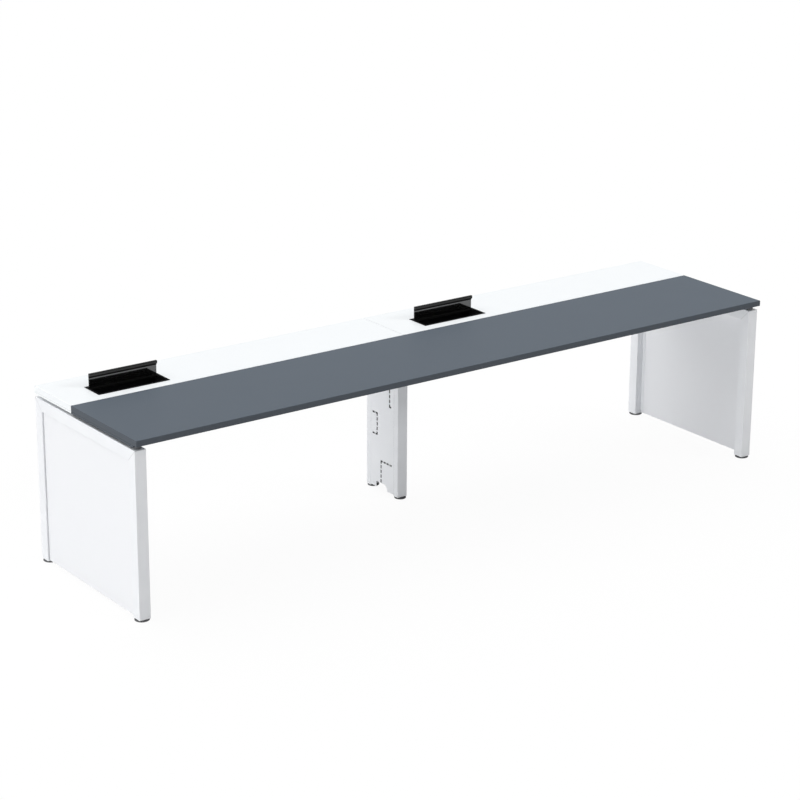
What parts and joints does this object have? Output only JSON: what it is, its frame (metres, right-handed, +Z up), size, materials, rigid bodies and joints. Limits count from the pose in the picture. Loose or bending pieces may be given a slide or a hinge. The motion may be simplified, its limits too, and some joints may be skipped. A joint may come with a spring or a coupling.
{
  "type": "benching desk",
  "caption": "Long office bench for people sitting side by side, with a slate top, white service panels with flip-up cable flaps, panelled end frames and a cable leg in the middle.",
  "frame": {"origin": "on the floor, midway between the ends and between the front and rear edges of the tops", "axes": "+X along the desk to the right of the people sitting at it, +Y away from them, +Z up"},
  "size_m": [3.21, 0.8, 0.8069],
  "materials": {
    "slate_board": "matt slate grey laminate",
    "white_board": "matt white laminate",
    "white_steel": "fine-textured white powder coat",
    "dark_spacer": "matt dark grey powder coat",
    "black_lid": "satin black anodised",
    "black_plastic": "fine-grained black moulding",
    "bristle": "black nylon bristle",
    "foot_plastic": "matt dark grey moulding",
    "pin_steel": "drawn steel"
  },
  "bodies": {
    "desk": {"front_beam": "white_steel", "front_worktop": "slate_board", "left_cable_tray": "white_steel", "left_end_panel": "white_board", "left_flap_brush": "bristle", "left_flap_frame": "black_plastic", "left_flap_pin": "pin_steel", "left_front_beam_saddle": "white_steel", "left_front_panel_angle": "white_steel", "left_front_post": "white_steel", "left_front_post_plug": "black_plastic", "left_front_spacer": "dark_spacer", "left_middle_beam_saddle": "white_steel", "left_rear_beam_saddle": "white_steel", "left_rear_panel_angle": "white_steel", "left_rear_post": "white_steel", "left_rear_post_plug": "black_plastic", "left_top_rail": "white_steel", "middle_beam": "white_steel", "middle_front_post": "white_steel", "middle_front_post_plug": "black_plastic", "middle_left_cover": "white_steel", "middle_leg_arm": "white_steel", "middle_rear_post": "white_steel", "middle_rear_post_plug": "black_plastic", "middle_right_cover": "white_steel", "rear_beam": "white_steel", "rear_panel_left": "white_board", "rear_panel_right": "white_board", "right_cable_tray": "white_steel", "right_end_panel": "white_board", "right_flap_brush": "bristle", "right_flap_frame": "black_plastic", "right_flap_pin": "pin_steel", "right_front_beam_saddle": "white_steel", "right_front_panel_angle": "white_steel", "right_front_post": "white_steel", "right_front_post_plug": "black_plastic", "right_front_spacer": "dark_spacer", "right_middle_beam_saddle": "white_steel", "right_rear_beam_saddle": "white_steel", "right_rear_panel_angle": "white_steel", "right_rear_post": "white_steel", "right_rear_post_plug": "black_plastic", "right_top_rail": "white_steel"},
    "left_lid": {"left_flap_lid": "black_lid"},
    "right_lid": {"right_flap_lid": "black_lid"},
    "left_front_leveller": {"left_front_foot": "foot_plastic"},
    "left_rear_leveller": {"left_rear_foot": "foot_plastic"},
    "middle_front_leveller": {"middle_front_foot": "foot_plastic"},
    "middle_rear_leveller": {"middle_rear_foot": "foot_plastic"},
    "right_front_leveller": {"right_front_foot": "foot_plastic"},
    "right_rear_leveller": {"right_rear_foot": "foot_plastic"}
  },
  "joints": [
    {"name": "left_lid_hinge", "type": "hinge", "parent": "desk", "child": "left_lid", "pos_m": [-1.2855, 0.2387, 0.7419], "axis": [1, 0, 0], "range_deg": [0, 90]},
    {"name": "right_lid_hinge", "type": "hinge", "parent": "desk", "child": "right_lid", "pos_m": [0.3145, 0.2387, 0.7419], "axis": [1, 0, 0], "range_deg": [0, 90]},
    {"name": "left_front_foot_height", "type": "slide", "parent": "desk", "child": "left_front_leveller", "axis": [0, 0, -1], "range_m": [0, 0.015]},
    {"name": "left_rear_foot_height", "type": "slide", "parent": "desk", "child": "left_rear_leveller", "axis": [0, 0, -1], "range_m": [0, 0.015]},
    {"name": "middle_front_foot_height", "type": "slide", "parent": "desk", "child": "middle_front_leveller", "axis": [0, 0, -1], "range_m": [0, 0.015]},
    {"name": "middle_rear_foot_height", "type": "slide", "parent": "desk", "child": "middle_rear_leveller", "axis": [0, 0, -1], "range_m": [0, 0.015]},
    {"name": "right_front_foot_height", "type": "slide", "parent": "desk", "child": "right_front_leveller", "axis": [0, 0, -1], "range_m": [0, 0.015]},
    {"name": "right_rear_foot_height", "type": "slide", "parent": "desk", "child": "right_rear_leveller", "axis": [0, 0, -1], "range_m": [0, 0.015]}
  ]
}
